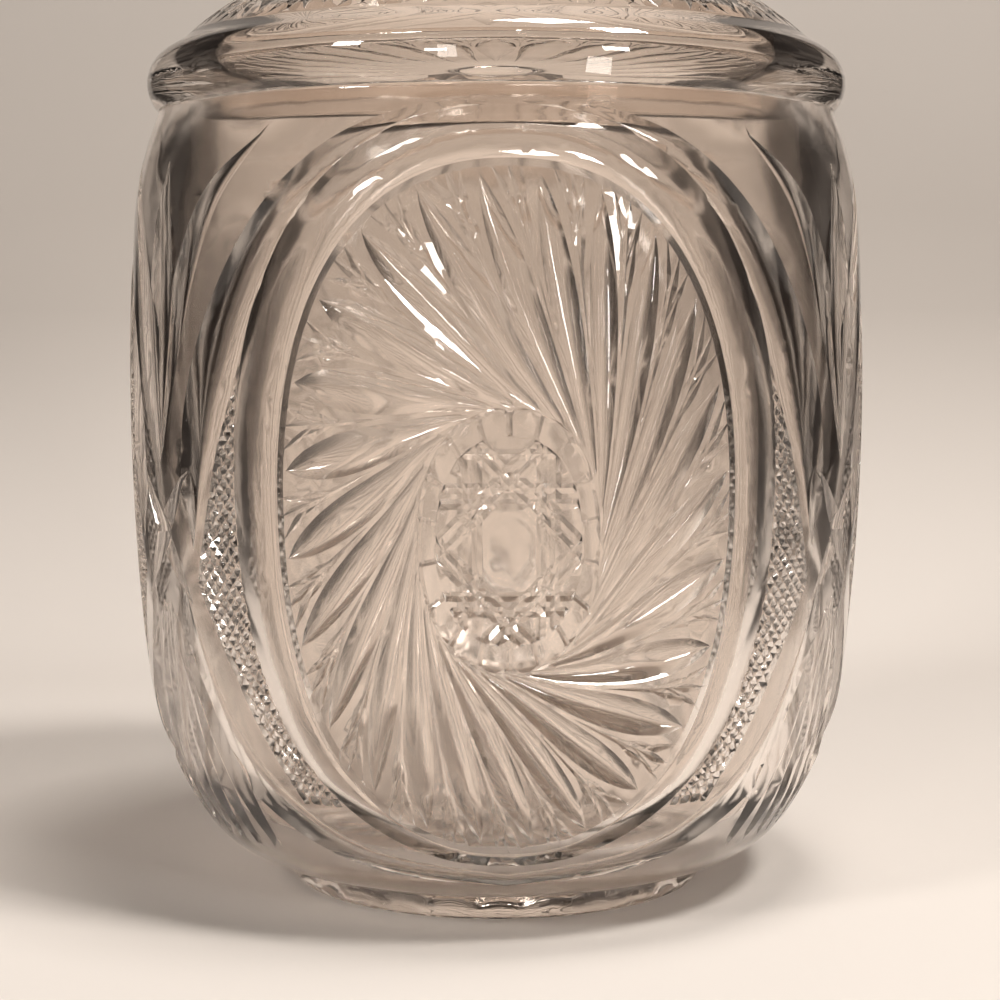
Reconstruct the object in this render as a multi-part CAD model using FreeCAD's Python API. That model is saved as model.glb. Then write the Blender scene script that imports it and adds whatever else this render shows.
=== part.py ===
import FreeCAD, Part
import math
import os

# Pressed-glass biscuit jar with a lift-off domed lid, in millimetres.
# The origin is the centre of the face the foot stands on, +Z is up, and one medallion faces -Y.

# Body: radii and heights of the outer outline, from the foot to the rim
FOOT_RADIUS = 44.4
FOOT_WAIST = 43.0
FOOT_HEIGHT = 5.4
FOOT_ROUND = 1.2
HEEL_RADIUS = 61.8
HEEL_HEIGHT = 14.5
HIP_RADIUS = 73.2
HIP_HEIGHT = 45.0
BELLY_RADIUS = 76.3
BELLY_HEIGHT = 100.0
SHOULDER_RADIUS = 75.0
SHOULDER_HEIGHT = 136.0
BODY_HEIGHT = 158.6
MOUTH_RADIUS = 62.8
RIM_WIDTH = 6.9

# Body: the inside and the underside
WALL = 8.0
FLOOR_THICKNESS = 9.5
MOUTH_DEPTH = 10.0
INNER_HEEL_HEIGHT = 30.0
INNER_FLOOR_RADIUS = 34.0
HOLLOW_RADIUS = 37.0
HOLLOW_DEPTH = 2.6
BASE_RAYS = 24
BASE_RAY_WIDTH = 6.5
BASE_RAY_DEPTH = 1.8

# Ornament: three tall ovals, each with a whirl of mitre cuts round a small oval
MEDALLIONS = 3
OVAL_CENTRE_HEIGHT = 81.7
OVAL_HALF_WIDTH = 40.8
OVAL_HALF_HEIGHT = 62.5
OVAL_END_RADIUS = 33.0
FIELD_DEPTH = 0.7
LIP_WIDTH = 1.3
FRAME_CENTRE_HEIGHT = 85.0
FRAME_HALF_WIDTH = 50.2
FRAME_HALF_HEIGHT = 69.4
FRAME_END_RADIUS = 41.0
COVE_DEPTH = 1.4
HEART_CENTRE_HEIGHT = 79.0
HEART_HALF_WIDTH = 15.4
HEART_HALF_HEIGHT = 23.4
HEART_END_RADIUS = 12.0
HEART_BORDER = 3.6
HEART_BORDER_DEPTH = 1.3
BUTTON_HALF_WIDTH = 5.3
BUTTON_HALF_HEIGHT = 7.6
BUTTON_MARGIN = 1.6
BUTTON_CUT_WIDTH = 3.6
BUTTON_CUT_DEPTH = 1.4
BUTTON_CUT_SPAN = 0.8
BLADES = 24
BLADE_START = 0.42
BLADE_END = 0.93
BLADE_DEPTH = 2.2
BLADE_WIDTH = 8.4
BLADE_WIDEST = 0.6

# Ornament: the panels between two medallions
ARCH_WIDTH = 12.0
ARCH_DEPTH = 2.2
SPEAR_TOP = 146.0
SPEAR_WIDEST = 120.0
SPEAR_FOOT = 92.0
SPEAR_WIDTH = 9.6
CROSS_HEIGHT = 75.5
CROSS_RISE = 12.5
CROSS_ANGLE = 7.5
CROSS_WIDTH = 5.4
FAN_TEETH = 7
FAN_ANGLE = 15.0
FAN_TOP = 60.0
FAN_WIDEST = 27.0
FAN_BOTTOM = 17.0
FAN_WIDTH = 5.8
FAN_DEPTH = 2.4

# Lid
SEAT_GAP = 0.2
PLUG_CLEARANCE = 0.9
PLUG_DEPTH = 7.0
PLUG_WIDTH = 4.0
BEAD_OVERHANG = 0.1
BEAD_BULGE = 2.2
BEAD_WIDEST_RISE = 5.6
BEAD_RISE = 12.4
BEAD_SHOULDER = 67.4
DOME_RADIUS = 65.2
DOME_STEP = 1.4
DOME_RISE = 22.0
DOME_SLOPE = 42.0
DOME_THICKNESS = 5.5
LID_CUTS = 24
LID_CUT_DEPTH = 1.8
LID_CUT_WIDTH = 9.0
LID_CUT_START = 24.0
LID_CUT_MARGIN = 2.5

# Knob
NECK_RADIUS = 9.0
NECK_HEIGHT = 4.5
KNOB_SIDES = 8
KNOB_RADIUS = 17.5
KNOB_FLARE = 7.0
KNOB_BAND = 4.0
KNOB_CROWN = 6.0
KNOB_TABLE_RADIUS = 8.5

Z_AXIS = FreeCAD.Vector(0, 0, 1)
CENTRE = FreeCAD.Vector(0, 0, 0)
OUTSIDE = 20.0


def point(radius, height):
    """A point of a half section, in the XZ plane."""
    return FreeCAD.Vector(radius, 0, height)


class TangentArc:
    """An arc of a half section that leaves start along heading and ends at end."""

    def __init__(self, start, heading, end):
        chord = (end[0] - start[0], end[1] - start[1])
        normal = (heading[1], -heading[0])
        across = normal[0] * chord[0] + normal[1] * chord[1]
        radius = (chord[0] ** 2 + chord[1] ** 2) / (2 * across)
        self.centre = (start[0] + normal[0] * radius, start[1] + normal[1] * radius)
        self.radius = abs(radius)
        self.start = start
        self.end = end
        along = heading[0] * chord[0] + heading[1] * chord[1]
        length = math.hypot(*chord)
        cosine = along / length
        sine = across / length
        turn = 2 * math.atan2(sine, cosine)
        self.leaving = (
            heading[0] * math.cos(turn) + heading[1] * math.sin(turn),
            heading[1] * math.cos(turn) - heading[0] * math.sin(turn),
        )

    def offset(self, inset):
        """Start, middle and end of this arc moved towards its centre by inset."""
        share = (self.radius - inset) / self.radius
        ends = []
        for place in (self.start, self.end):
            ends.append(tuple(c + (p - c) * share for p, c in zip(place, self.centre)))
        middle = tuple((a + b) / 2 - c for a, b, c in zip(ends[0], ends[1], self.centre))
        reach = (self.radius - inset) / math.hypot(*middle)
        middle = tuple(c + m * reach for m, c in zip(middle, self.centre))
        return ends[0], middle, ends[1]

    def edge(self, inset=0.0):
        return Part.Arc(*[point(*place) for place in self.offset(inset)]).toShape()

    def radius_at(self, height):
        rise = height - self.centre[1]
        return self.centre[0] + math.sqrt(max(self.radius ** 2 - rise ** 2, 0.0))


def arc_chain(places, heading):
    """Arcs through places, each leaving along the way the one before it arrived."""
    arcs = []
    for start, end in zip(places, places[1:]):
        arcs.append(TangentArc(start, heading, end))
        heading = arcs[-1].leaving
    return arcs


RIM_RADIUS = MOUTH_RADIUS + RIM_WIDTH
BELLY = (BELLY_RADIUS, BELLY_HEIGHT)
LOWER_ARCS = arc_chain(
    [BELLY, (HIP_RADIUS, HIP_HEIGHT), (HEEL_RADIUS, HEEL_HEIGHT), (FOOT_WAIST, FOOT_HEIGHT)], (0, -1)
)
UPPER_ARCS = arc_chain([BELLY, (SHOULDER_RADIUS, SHOULDER_HEIGHT), (RIM_RADIUS, BODY_HEIGHT)], (0, 1))


def wall_arc(height):
    """The arc of the outer outline that passes this height."""
    for arc in UPPER_ARCS + LOWER_ARCS:
        low, high = sorted((arc.start[1], arc.end[1]))
        if low <= height <= high:
            return arc
    return LOWER_ARCS[-1] if height < FOOT_HEIGHT else UPPER_ARCS[-1]


def wall_radius(height):
    return wall_arc(height).radius_at(height)


def on_wall(across, height):
    """The point and outward normal of the outer wall at a sideways distance from a medallion's middle."""
    arc = wall_arc(height)
    radius = arc.radius_at(height)
    back = math.sqrt(max(radius ** 2 - across ** 2, 1.0))
    place = FreeCAD.Vector(across, -back, height)
    outward = FreeCAD.Vector(across, -back, 0).normalize()
    slope = (radius - arc.centre[0], height - arc.centre[1])
    normal = outward * slope[0] + Z_AXIS * slope[1]
    return place, normal.normalize()


def revolve(edges):
    return Part.Face(Part.Wire(edges)).revolve(CENTRE, Z_AXIS, 360)


def line(start, end):
    return Part.LineSegment(point(*start), point(*end)).toShape()


def three_point_arc(start, middle, end):
    return Part.Arc(point(*start), point(*middle), point(*end)).toShape()


def wall_layer(depth):
    """The outer part of the wall, from the outline in to this depth, with some room outside it."""
    arcs = UPPER_ARCS[::-1] + LOWER_ARCS
    reversed_arcs = len(UPPER_ARCS)
    inner = []
    for number, arc in enumerate(arcs):
        start, middle, end = arc.offset(depth)
        if number < reversed_arcs:
            start, end = end, start
        inner.append((start, middle, end))
    edges = [three_point_arc(*ends) for ends in inner]
    top = inner[0][0]
    bottom = inner[-1][2]
    far = BELLY_RADIUS + OUTSIDE
    edges.append(line(bottom, (far, bottom[1])))
    edges.append(line((far, bottom[1]), (far, top[1])))
    edges.append(line((far, top[1]), top))
    return revolve(Part.sortEdges(edges)[0])


def oval_wire(half_width, half_height, end_radius, height, grow=0.0):
    """A four-arc oval in the plane y = 0, grown outwards by grow."""
    rise = half_height - end_radius
    excess = half_width - end_radius
    side_radius = (half_width ** 2 + rise ** 2 - end_radius ** 2) / (2 * excess)
    lean = math.atan2(rise, side_radius - half_width)
    end_reach = end_radius + grow
    corner = (end_reach * math.cos(lean), rise + end_reach * math.sin(lean))
    side = half_width + grow
    top = half_height + grow
    edges = []
    for turn in (1, -1):
        edges.append(
            three_point_arc(
                (turn * corner[0], height + turn * corner[1]),
                (0, height + turn * top),
                (-turn * corner[0], height + turn * corner[1]),
            )
        )
        edges.append(
            three_point_arc(
                (-turn * corner[0], height + turn * corner[1]),
                (-turn * side, height),
                (-turn * corner[0], height - turn * corner[1]),
            )
        )
    return Part.Wire(Part.sortEdges(edges)[0])


def outwards(wire):
    """The straight prism of a wire in the plane y = 0, out past the wall in front."""
    return Part.Face(wire).extrude(FreeCAD.Vector(0, -BELLY_RADIUS - OUTSIDE, 0))


def main_oval(grow=0.0):
    return outwards(
        oval_wire(OVAL_HALF_WIDTH, OVAL_HALF_HEIGHT, OVAL_END_RADIUS, OVAL_CENTRE_HEIGHT, grow)
    )


def heart_oval(grow=0.0):
    return outwards(
        oval_wire(HEART_HALF_WIDTH, HEART_HALF_HEIGHT, HEART_END_RADIUS, HEART_CENTRE_HEIGHT, grow)
    )


def triangle(a, b, c):
    return Part.Face(Part.makePolygon([a, b, c, a]))


def mitre_cutter(stations, depth, lift=1.5):
    """A V-shaped cutter that follows the wall. Each station is a point, its normal and a half width."""
    rows = []
    for number, (place, normal, half) in enumerate(stations):
        before = stations[max(number - 1, 0)][0]
        after = stations[min(number + 1, len(stations) - 1)][0]
        side = (after - before).cross(normal).normalize()
        share = half / max(s[2] for s in stations)
        keel = place - normal * (depth * share)
        wide = half * (depth * share + lift) / (depth * share)
        rows.append((place + normal * lift + side * wide, place + normal * lift - side * wide, keel))
    faces = [triangle(*rows[0]), triangle(*rows[-1])]
    for near, far in zip(rows, rows[1:]):
        for i in range(3):
            j = (i + 1) % 3
            faces.append(triangle(near[i], near[j], far[j]))
            faces.append(triangle(near[i], far[j], far[i]))
    solid = Part.Solid(Part.Shell(faces))
    if solid.Volume < 0:
        solid.reverse()
    return solid


def blade_cutter(number):
    """One mitre cut of the whirl: a straight line that leaves the small oval as its tangent."""
    turn = 2 * math.pi * number / BLADES
    start_run = math.sqrt(max(BLADE_START ** 2 - heart_share() ** 2, 0.0))
    end_run = math.sqrt(BLADE_END ** 2 - heart_share() ** 2)
    stations = []
    for share, width in blade_widths():
        run = start_run + (end_run - start_run) * share
        sideways = heart_share() * math.cos(turn) - run * math.sin(turn)
        upwards = heart_share() * math.sin(turn) + run * math.cos(turn)
        across = OVAL_HALF_WIDTH * sideways
        height = OVAL_CENTRE_HEIGHT + (HEART_CENTRE_HEIGHT - OVAL_CENTRE_HEIGHT) * (1 - share)
        height += OVAL_HALF_HEIGHT * upwards
        place, normal = on_wall(across, height)
        stations.append((place - normal * FIELD_DEPTH, normal, width))
    return mitre_cutter(stations, BLADE_DEPTH)


def heart_share():
    """The small oval's size as a share of the large one."""
    return (HEART_HALF_WIDTH / OVAL_HALF_WIDTH + HEART_HALF_HEIGHT / OVAL_HALF_HEIGHT) / 2


def blade_widths():
    """Shares along a blade with its half width there."""
    least = 0.12
    return [
        (0.0, BLADE_WIDTH / 2 * least),
        (BLADE_WIDEST / 2, BLADE_WIDTH / 2 * 0.66),
        (BLADE_WIDEST, BLADE_WIDTH / 2),
        ((1 + BLADE_WIDEST) / 2, BLADE_WIDTH / 2 * 0.72),
        (1.0, BLADE_WIDTH / 2 * least),
    ]


def all_round(shape):
    """Copies of a shape of one medallion on all of them."""
    copies = []
    for number in range(MEDALLIONS):
        copy = shape.copy()
        copy.rotate(CENTRE, Z_AXIS, 360.0 * number / MEDALLIONS)
        copies.append(copy)
    return copies


def body_blank():
    """The jar before its ornament: foot, wall, rim, inside and hollow underside."""
    bottom = FOOT_RADIUS - FOOT_ROUND
    edges = [
        line((HOLLOW_RADIUS, 0), (bottom, 0)),
        three_point_arc((bottom, 0), (FOOT_RADIUS, FOOT_HEIGHT * 0.45), (FOOT_WAIST, FOOT_HEIGHT)),
    ]
    edges += [arc.edge() for arc in LOWER_ARCS + UPPER_ARCS[:-1]]
    crown = UPPER_ARCS[-1]
    edges.append(crown.edge())
    edges.append(line((RIM_RADIUS, BODY_HEIGHT), (MOUTH_RADIUS, BODY_HEIGHT)))
    throat = (MOUTH_RADIUS, BODY_HEIGHT - MOUTH_DEPTH)
    edges.append(line((MOUTH_RADIUS, BODY_HEIGHT), throat))
    inner_belly = (BELLY_RADIUS - WALL, BELLY_HEIGHT)
    edges += [arc.edge() for arc in arc_chain([inner_belly, throat], (0, 1))]
    floor = (INNER_FLOOR_RADIUS, HOLLOW_DEPTH + FLOOR_THICKNESS)
    inner_heel = (wall_radius(INNER_HEEL_HEIGHT) - WALL, INNER_HEEL_HEIGHT)
    edges += [arc.edge() for arc in arc_chain([inner_belly, inner_heel, floor], (0, -1))]
    edges.append(line(floor, (0, floor[1])))
    edges.append(line((0, floor[1]), (0, HOLLOW_DEPTH)))
    edges.append(line((0, HOLLOW_DEPTH), (HOLLOW_RADIUS - HOLLOW_DEPTH, HOLLOW_DEPTH)))
    edges.append(line((HOLLOW_RADIUS - HOLLOW_DEPTH, HOLLOW_DEPTH), (HOLLOW_RADIUS, 0)))
    return revolve(Part.sortEdges(edges)[0])


def stations_at(path, half_width):
    """Stations of a cut from its angles round the jar, heights and shares of its half width."""
    stations = []
    for angle, height, share in path:
        arc = wall_arc(height)
        radius = arc.radius_at(height)
        turn = math.radians(angle)
        outward = FreeCAD.Vector(math.sin(turn), -math.cos(turn), 0)
        normal = outward * (radius - arc.centre[0]) + Z_AXIS * (height - arc.centre[1])
        stations.append((outward * radius + Z_AXIS * height, normal.normalize(), half_width * share))
    return stations


def both_ways(path):
    """A path and its mirror image on the other side of the medallion."""
    return [path, [(-angle, height, share) for angle, height, share in path]]


# Angle from a medallion's middle, height and share of the width, along each arch beside the frame
HIGH_ARCH = [
    (4, 153.2, 0.2),
    (24, 146, 0.55),
    (38, 127, 0.85),
    (46.6, 103, 1.0),
    (50.2, 88, 0.7),
    (51, 74.5, 0.1),
]
LOW_ARCH = [(54.5, 66, 0.1), (52, 51, 0.65), (45, 34, 0.75), (32, 20.5, 0.5), (12, 14, 0.15)]
OUTER_ARCH = [(38, 150, 0.1), (49, 136, 0.45), (55, 116, 0.5), (60, 90, 0.1)]


def arch_cuts():
    cuts = []
    for arch in (HIGH_ARCH, LOW_ARCH, OUTER_ARCH):
        for path in both_ways(arch):
            cuts.append(mitre_cutter(stations_at(path, ARCH_WIDTH / 2), ARCH_DEPTH))
    return cuts


def between_cuts():
    """The spearhead, the small cross and the fan on the line between two medallions."""
    middle = 180.0 / MEDALLIONS
    spear = [(middle, SPEAR_TOP, 0.1), (middle, SPEAR_WIDEST, 1.0), (middle, SPEAR_FOOT, 0.1)]
    cuts = [mitre_cutter(stations_at(spear, SPEAR_WIDTH / 2), ARCH_DEPTH)]
    for side in (1, -1):
        lean = side * CROSS_ANGLE
        cross = [
            (middle - lean, CROSS_HEIGHT + CROSS_RISE, 0.1),
            (middle, CROSS_HEIGHT, 1.0),
            (middle + lean, CROSS_HEIGHT - CROSS_RISE, 0.1),
        ]
        cuts.append(mitre_cutter(stations_at(cross, CROSS_WIDTH / 2), ARCH_DEPTH))
    for number in range(FAN_TEETH):
        spread = FAN_ANGLE * (2 * number / (FAN_TEETH - 1) - 1)
        tooth = [
            (middle + spread * 0.2, FAN_TOP, 0.1),
            (middle + spread, FAN_WIDEST, 1.0),
            (middle + spread * 1.1, FAN_BOTTOM, 0.5),
        ]
        cuts.append(mitre_cutter(stations_at(tooth, FAN_WIDTH / 2), FAN_DEPTH))
    return cuts


def base_ray_cuts():
    """The star of mitre cuts under the base."""
    cuts = []
    for number in range(BASE_RAYS // 2):
        turn = 2 * math.pi * number / BASE_RAYS
        along = FreeCAD.Vector(math.cos(turn), math.sin(turn), 0) * (HOLLOW_RADIUS - HOLLOW_DEPTH * 2)
        level = Z_AXIS * HOLLOW_DEPTH
        stations = [(level - along, -Z_AXIS, 0.4), (level, -Z_AXIS, 0.8), (level + along, -Z_AXIS, 0.4)]
        widest = BASE_RAY_WIDTH / 2
        stations = [(place, normal, widest * half) for place, normal, half in stations]
        cuts.append(mitre_cutter(stations, BASE_RAY_DEPTH, lift=0.5))
    return cuts


def heart_cuts():
    """The small oval's sunk border and the mitre cuts that frame its button."""
    border = heart_oval().cut(heart_oval(-HEART_BORDER)).common(wall_layer(HEART_BORDER_DEPTH))
    cuts = [border]
    wide = HEART_HALF_WIDTH - HEART_BORDER
    high = HEART_HALF_HEIGHT - HEART_BORDER
    for side in (1, -1):
        upright = []
        level = []
        for share in (-1, 0, 1):
            width = BUTTON_CUT_WIDTH / 2 * (0.3 if share else 1.0)
            height = HEART_CENTRE_HEIGHT + high * BUTTON_CUT_SPAN * share
            place, normal = on_wall(side * (BUTTON_HALF_WIDTH + BUTTON_MARGIN), height)
            upright.append((place, normal, width))
            height = HEART_CENTRE_HEIGHT + side * (BUTTON_HALF_HEIGHT + BUTTON_MARGIN)
            place, normal = on_wall(wide * BUTTON_CUT_SPAN * share, height)
            level.append((place, normal, width))
        cuts.append(mitre_cutter(upright, BUTTON_CUT_DEPTH))
        cuts.append(mitre_cutter(level, BUTTON_CUT_DEPTH))
    return cuts


def frame_oval():
    return outwards(
        oval_wire(FRAME_HALF_WIDTH, FRAME_HALF_HEIGHT, FRAME_END_RADIUS, FRAME_CENTRE_HEIGHT)
    )


def sector_wedge():
    """The share of space that one medallion takes up, half way to its neighbours on both sides."""
    far = 2 * (BELLY_RADIUS + OUTSIDE)
    half = math.pi / MEDALLIONS
    left = FreeCAD.Vector(-far * math.sin(half), -far * math.cos(half), 0)
    right = FreeCAD.Vector(far * math.sin(half), -far * math.cos(half), 0)
    front = FreeCAD.Vector(0, -far, 0)
    outline = Part.Face(Part.makePolygon([CENTRE, left, front, right, CENTRE]))
    return outline.extrude(Z_AXIS * (BODY_HEIGHT + 2 * OUTSIDE)).translate(-Z_AXIS * OUTSIDE)


def jar_sector():
    """One medallion's share of the jar, with its ornament and half of the panel on each side."""
    sector = body_blank().common(sector_wedge())
    between = arch_cuts()
    for side in (0, -360.0 / MEDALLIONS):
        for cut in between_cuts():
            cut.rotate(CENTRE, Z_AXIS, side)
            between.append(cut)
    sector = sector.cut(between)
    field = main_oval().cut(heart_oval()).common(wall_layer(FIELD_DEPTH))
    cove = frame_oval().cut(main_oval(LIP_WIDTH)).common(wall_layer(COVE_DEPTH))
    sector = sector.cut([field, cove])
    whirl = [blade_cutter(number) for number in range(BLADES)]
    return sector.cut(whirl + heart_cuts())


def jar_body():
    sectors = all_round(jar_sector())
    body = sectors[0].fuse(sectors[1:]).removeSplitter()
    return only_solid(body.cut(base_ray_cuts()))


def only_solid(shape):
    """The single solid of a cut's result."""
    return max(shape.Solids, key=lambda solid: solid.Volume)


SEAT_HEIGHT = BODY_HEIGHT + SEAT_GAP
DOME_FOOT = (DOME_RADIUS, SEAT_HEIGHT + BEAD_RISE + DOME_STEP)
DOME_TOP = (NECK_RADIUS, DOME_FOOT[1] + DOME_RISE)
DOME_HEADING = (-math.cos(math.radians(DOME_SLOPE)), math.sin(math.radians(DOME_SLOPE)))
DOME_ARC = TangentArc(DOME_FOOT, DOME_HEADING, DOME_TOP)


def dome_height(radius, inset=0.0):
    """Height of the dome's outside, or of a surface inset below it, at a radius."""
    reach = radius - DOME_ARC.centre[0]
    return DOME_ARC.centre[1] + math.sqrt((DOME_ARC.radius - inset) ** 2 - reach ** 2)


def lid_blank():
    """The lid's bead, plug ring and dome, with a flat land under the knob's neck."""
    plug_outer = MOUTH_RADIUS - PLUG_CLEARANCE
    plug_inner = plug_outer - PLUG_WIDTH
    plug_bottom = SEAT_HEIGHT - PLUG_DEPTH
    bead_foot = MOUTH_RADIUS + RIM_WIDTH + BEAD_OVERHANG
    bead_start = (bead_foot, SEAT_HEIGHT)
    bead_wide = (bead_foot + BEAD_BULGE, SEAT_HEIGHT + BEAD_WIDEST_RISE)
    bead_end = (BEAD_SHOULDER, SEAT_HEIGHT + BEAD_RISE)
    inside = (plug_inner, dome_height(plug_inner, DOME_THICKNESS))
    ceiling = (DOME_ARC.centre[0], dome_height(DOME_ARC.centre[0], DOME_THICKNESS))
    middle_radius = (plug_inner + ceiling[0]) / 2
    middle = (middle_radius, dome_height(middle_radius, DOME_THICKNESS))
    edges = [
        line((plug_outer, SEAT_HEIGHT), bead_start),
        three_point_arc(bead_start, bead_wide, bead_end),
        line(bead_end, DOME_FOOT),
        DOME_ARC.edge(),
        line(DOME_TOP, (0, DOME_TOP[1])),
        line((0, DOME_TOP[1]), (0, ceiling[1])),
        line((0, ceiling[1]), ceiling),
        three_point_arc(ceiling, middle, inside),
        line(inside, (plug_inner, plug_bottom)),
        line((plug_inner, plug_bottom), (plug_outer, plug_bottom)),
        line((plug_outer, plug_bottom), (plug_outer, SEAT_HEIGHT)),
    ]
    return revolve(Part.sortEdges(edges)[0])


def lid_cuts():
    """Mitre cuts that fan out over the dome."""
    cuts = []
    end = DOME_RADIUS - LID_CUT_MARGIN
    shares = ((0.0, 0.15), (0.4, 0.6), (0.8, 1.0), (1.0, 0.45))
    for number in range(LID_CUTS):
        turn = 2 * math.pi * (number + 0.5) / LID_CUTS
        outward = FreeCAD.Vector(math.cos(turn), math.sin(turn), 0)
        stations = []
        for share, width in shares:
            radius = LID_CUT_START + (end - LID_CUT_START) * share
            height = dome_height(radius)
            normal = outward * (radius - DOME_ARC.centre[0]) + Z_AXIS * (height - DOME_ARC.centre[1])
            place = outward * radius + Z_AXIS * height
            stations.append((place, normal.normalize(), LID_CUT_WIDTH / 2 * width))
        cuts.append(mitre_cutter(stations, LID_CUT_DEPTH))
    return cuts


def polygon(radius, height, sides):
    """A regular polygon whose flats lie at radius."""
    corner = radius / math.cos(math.pi / sides)
    points = []
    for number in range(sides + 1):
        turn = 2 * math.pi * (number % sides + 0.5) / sides
        points.append(FreeCAD.Vector(corner * math.cos(turn), corner * math.sin(turn), height))
    return Part.makePolygon(points)


def knob():
    """The faceted knob: a flare, an upright band and a crown with a flat table, on a round neck."""
    foot = DOME_TOP[1] - DOME_THICKNESS / 2
    flare = DOME_TOP[1] + NECK_HEIGHT
    band = flare + KNOB_FLARE
    crown = band + KNOB_BAND
    table = crown + KNOB_CROWN
    levels = ((NECK_RADIUS, flare), (KNOB_RADIUS, band), (KNOB_RADIUS, crown), (KNOB_TABLE_RADIUS, table))
    wires = [polygon(radius, height, KNOB_SIDES) for radius, height in levels]
    head = Part.makeLoft(wires, True, True)
    neck = Part.makeCylinder(NECK_RADIUS, flare + 1.0 - foot, FreeCAD.Vector(0, 0, foot))
    return head.fuse(neck)


def lid():
    return only_solid(lid_blank().cut(lid_cuts()).fuse(knob()).removeSplitter())


def main():
    os.makedirs("parts", exist_ok=True)
    for name, make in (("jar_body", jar_body), ("lid", lid)):
        shape = make()
        print(name, shape.ShapeType, shape.isValid(), round(shape.Volume), shape.BoundBox)
        shape.exportStep("parts/" + name + ".step")


if __name__ == "__main__":
    main()
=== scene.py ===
import math

import bmesh
import bpy
import numpy as np
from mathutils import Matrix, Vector
from mathutils.geometry import delaunay_2d_cdt


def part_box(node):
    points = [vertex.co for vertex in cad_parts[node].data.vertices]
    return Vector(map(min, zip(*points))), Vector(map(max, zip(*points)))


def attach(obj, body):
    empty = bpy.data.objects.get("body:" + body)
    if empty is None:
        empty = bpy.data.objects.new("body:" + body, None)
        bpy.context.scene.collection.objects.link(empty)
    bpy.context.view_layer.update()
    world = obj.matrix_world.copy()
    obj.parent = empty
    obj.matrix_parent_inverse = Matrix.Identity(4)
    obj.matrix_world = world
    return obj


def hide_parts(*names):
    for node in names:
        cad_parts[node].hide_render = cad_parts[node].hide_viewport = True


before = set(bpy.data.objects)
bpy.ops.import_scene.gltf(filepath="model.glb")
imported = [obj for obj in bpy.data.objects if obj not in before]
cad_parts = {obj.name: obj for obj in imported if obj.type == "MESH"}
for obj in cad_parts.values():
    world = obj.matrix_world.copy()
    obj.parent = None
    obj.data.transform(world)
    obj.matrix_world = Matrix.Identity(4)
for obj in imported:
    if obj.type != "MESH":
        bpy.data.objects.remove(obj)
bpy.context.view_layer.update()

bl_info = {
    "name": "Pressed-glass biscuit jar",
    "version": (1, 0, 0),
    "blender": (4, 5, 0),
    "location": "3D View > Sidebar > Biscuit jar",
    "description": "Dresses a pressed-glass biscuit jar and its lid, and sets the stage",
    "category": "Object",
}

MM = 0.001
JAR_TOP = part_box("jar_body")[1][2] / MM
LID_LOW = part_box("lid")[0][2] / MM
LID_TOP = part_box("lid")[1][2] / MM

# Outer outline of the jar: radius and height in millimetres
BELLY = (76.3, 100.0)
SHOULDER = (75.0, 136.0)
RIM = (69.7, JAR_TOP)
HIP = (73.2, 45.0)
HEEL = (61.8, 14.5)
WAIST = (43.0, 5.4)
FOOT_RADIUS = 44.4
FOOT_ROUND = 1.2
FOOT_BULGE = 1.4
MOUTH_RADIUS = 62.8
MOUTH_DEPTH = 10.0
HOLLOW_RADIUS = 37.0
HOLLOW_DEPTH = 2.6
FLOOR_TOP = 12.1
FLOOR_RADIUS = 34.0
INNER_HEEL_HEIGHT = 30.0
WALL = 8.0
RIM_ROUND = 0.9
BASE_STAR_DEPTH = 1.6
BASE_STAR_PERIOD = 5

# Layout round the jar: three medallions, each on a third of a turn
SECTORS = 3
HALF_SECTOR = 180.0 / SECTORS
COLUMNS = 40
FIELD_LOW = 7.0
FIELD_HIGH = 156.5
FIELD_FADE = 3.0

# Spacing of the mesh in mm: where no groove leads it, its rows, its clearance there, and along grooves
MESH_STEP = 2.4
MESH_ROW = 0.87 * MESH_STEP
MESH_CLEARANCE = 1.3
MESH_TOLERANCE = 0.02
LINE_STEP = 2.3
FINE_LINE_STEP = 1.9
CREASE = math.radians(22)
WELD = 0.02 * MM
SHORTEST_EDGE = 0.01 * MM

# The glass's ripple in metres, and the mesh attribute that marks the inside
RIPPLE_LENGTH = 0.014
RIPPLE_HEIGHT = 0.0004
RIPPLE_STRENGTH = 0.35
PLUNGER_SKIN = "plunger_skin"
INWARD = 0.3

# The large oval, its frame and the small oval, in degrees round the jar and millimetres of height
OVAL_HALF = (33.3, 63.6)
OVAL_HEIGHT = 81.3
OVAL_SQUARENESS = 2.3
FRAME_HALF = (41.2, 69.4)
FRAME_HEIGHT = 85.0
HEART_SHARE = 0.372
HEART_DROP = 4.0
# Widths of the sunk fields' sloping edges, as shares of the oval
FIELD_BEVEL = 0.02
BORDER_BEVEL = 0.04


def in_mm(length):
    """A length in metres, in the millimetres that the forms are worked out in."""
    return length / MM


def linear(code):
    """An sRGB hex colour as the linear colour that a shader takes."""
    channels = [int(code[i:i + 2], 16) / 255 for i in (1, 3, 5)]
    return tuple(c / 12.92 if c <= 0.04045 else ((c + 0.055) / 1.055) ** 2.4 for c in channels)


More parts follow.
